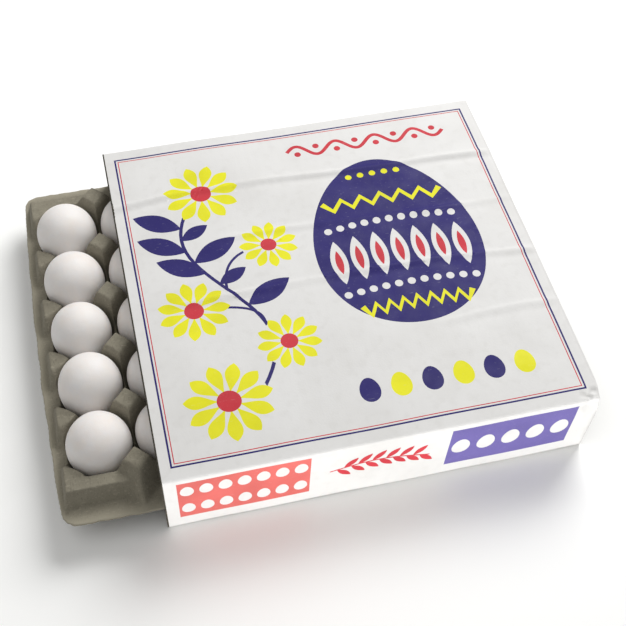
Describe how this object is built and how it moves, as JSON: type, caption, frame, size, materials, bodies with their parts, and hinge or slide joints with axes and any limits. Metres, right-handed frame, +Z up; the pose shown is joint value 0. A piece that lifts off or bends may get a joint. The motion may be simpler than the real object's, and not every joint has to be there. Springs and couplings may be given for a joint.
{
  "type": "egg carton with eggs",
  "caption": "Moulded-pulp tray filled with white eggs, drawn part of the way out of the printed, open-ended paperboard sleeve that it slides in.",
  "frame": {"origin": "bottom centre of the whole pack as it lies, with the tray's drawn-out end included; the sleeve stands on Z = 0", "axes": "+X along the sleeve towards its empty end, the tray comes out towards -X; +Y from the front panel to the back panel; +Z up"},
  "size_m": [0.37, 0.298, 0.064],
  "materials": {
    "sleeve_board": "white clay-coated paperboard with a satin face, printed in indigo, yellow, red and violet",
    "moulded_pulp": "rough matt grey-olive moulded paper pulp",
    "eggshell": "white hen's eggshell with a low sheen"
  },
  "bodies": {
    "sleeve": {"sleeve": "sleeve_board"},
    "tray": {"tray": "moulded_pulp", "egg_c1_r1": "eggshell", "egg_c1_r2": "eggshell", "egg_c1_r3": "eggshell", "egg_c1_r4": "eggshell", "egg_c1_r5": "eggshell", "egg_c2_r1": "eggshell", "egg_c2_r2": "eggshell", "egg_c2_r3": "eggshell", "egg_c2_r4": "eggshell", "egg_c2_r5": "eggshell", "egg_c3_r1": "eggshell", "egg_c3_r2": "eggshell", "egg_c3_r3": "eggshell", "egg_c3_r4": "eggshell", "egg_c3_r5": "eggshell", "egg_c4_r1": "eggshell", "egg_c4_r2": "eggshell", "egg_c4_r3": "eggshell", "egg_c4_r4": "eggshell", "egg_c4_r5": "eggshell", "egg_c5_r1": "eggshell", "egg_c5_r2": "eggshell", "egg_c5_r3": "eggshell", "egg_c5_r4": "eggshell", "egg_c5_r5": "eggshell", "egg_c6_r1": "eggshell", "egg_c6_r2": "eggshell", "egg_c6_r3": "eggshell", "egg_c6_r4": "eggshell", "egg_c6_r5": "eggshell"}
  },
  "joints": [
    {"name": "tray_slide", "type": "slide", "parent": "sleeve", "child": "tray", "axis": [-1, 0, 0], "range_m": [-0.0675, 0.15]}
  ]
}
